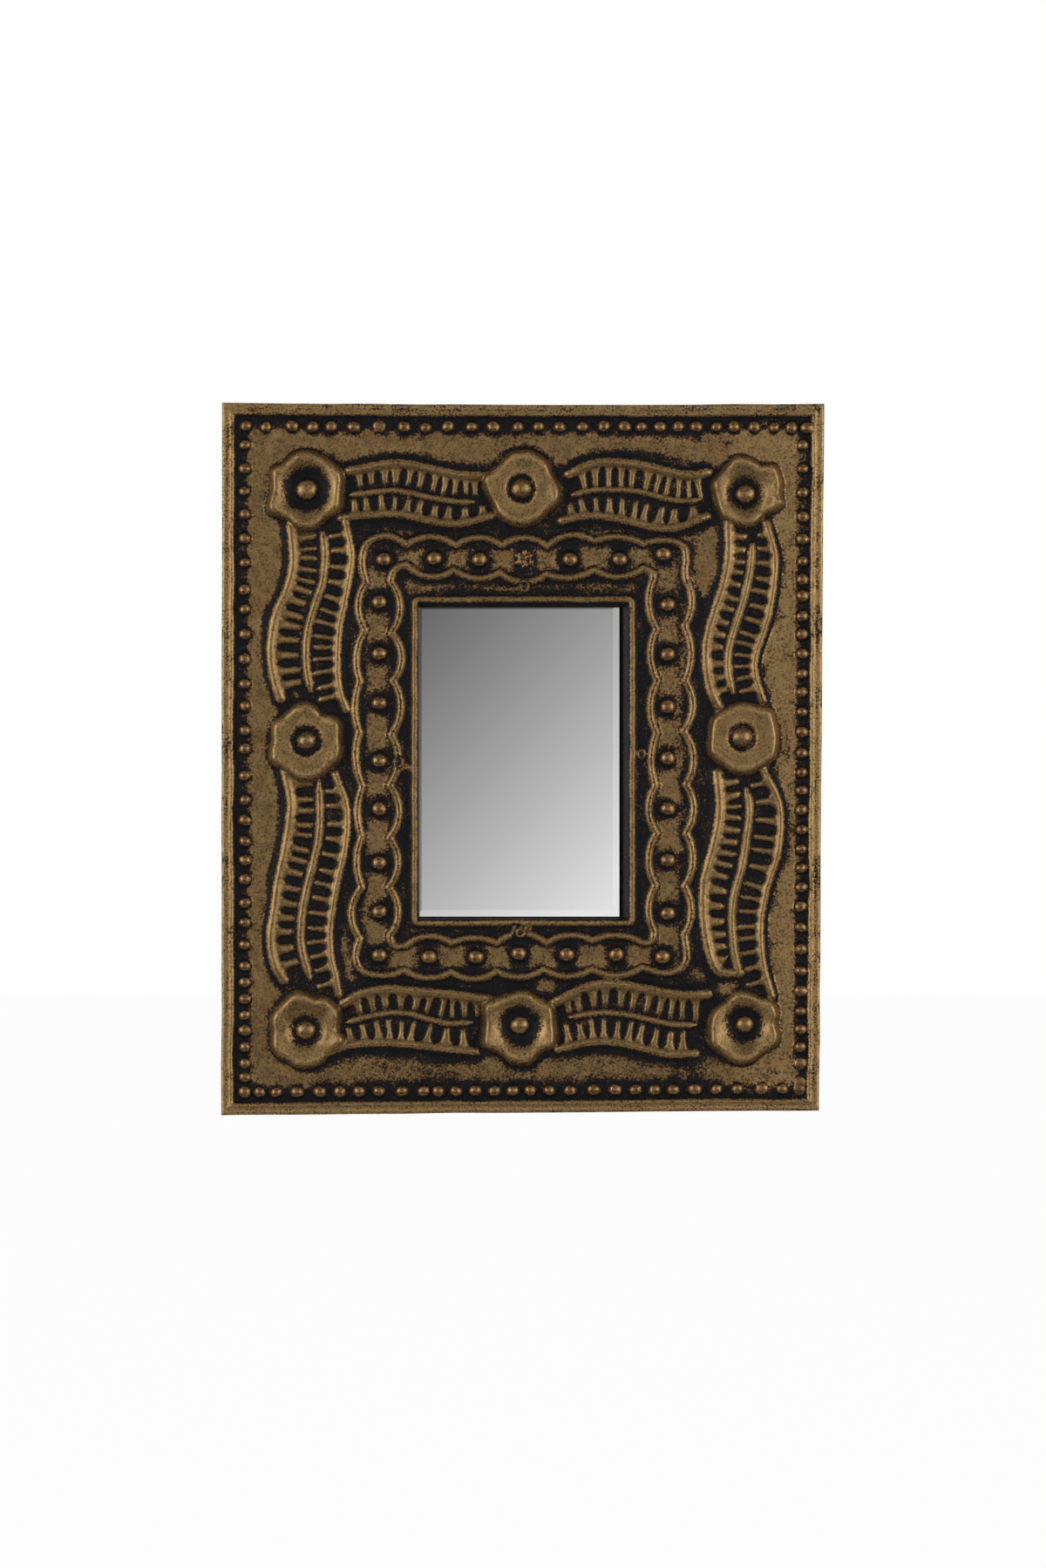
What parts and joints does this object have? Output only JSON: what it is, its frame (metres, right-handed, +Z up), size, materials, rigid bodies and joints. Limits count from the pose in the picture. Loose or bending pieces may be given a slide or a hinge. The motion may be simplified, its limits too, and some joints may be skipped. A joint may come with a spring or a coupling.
{
  "type": "wall mirror in an embossed tin frame",
  "caption": "Small wall mirror in a hand-embossed tin frame over flat planks, with a bevelled glass and a hanging ring on its back.",
  "frame": {"origin": "on the wall plane, at the middle of the back board's back face, behind the middle of the tin sheet", "axes": "+Z up, +X to the right as the front is seen, +Y into the wall; the front faces -Y"},
  "size_m": [0.3, 0.0196, 0.355],
  "materials": {
    "patinated_tin": "bronze wash rubbed over black patina",
    "mirror_glass": "polished, silvered behind",
    "black_card": "matt black",
    "corrugated_card": "plain brown",
    "plywood": "raw",
    "blued_steel": "blued",
    "plated_steel": "dull zinc plate",
    "softwood": "raw pine"
  },
  "bodies": {
    "frame": {"face_sheet": "patinated_tin", "mirror_glass": "mirror_glass", "backing_card": "black_card", "packing_pad": "corrugated_card", "back_board": "plywood", "side_tacks": "blued_steel", "face_nails": "blued_steel", "board_nails": "blued_steel", "hanger_strap": "plated_steel", "hanger_screws": "plated_steel", "top_rail": "softwood", "bottom_rail": "softwood", "left_stile": "softwood", "right_stile": "softwood"},
    "ring": {"hanging_ring": "plated_steel"}
  },
  "joints": [
    {"name": "ring_swing", "type": "hinge", "parent": "frame", "child": "ring", "pos_m": [0, -0.00225, 0.1405], "axis": [1, 0, 0], "range_deg": [0, 180]}
  ]
}
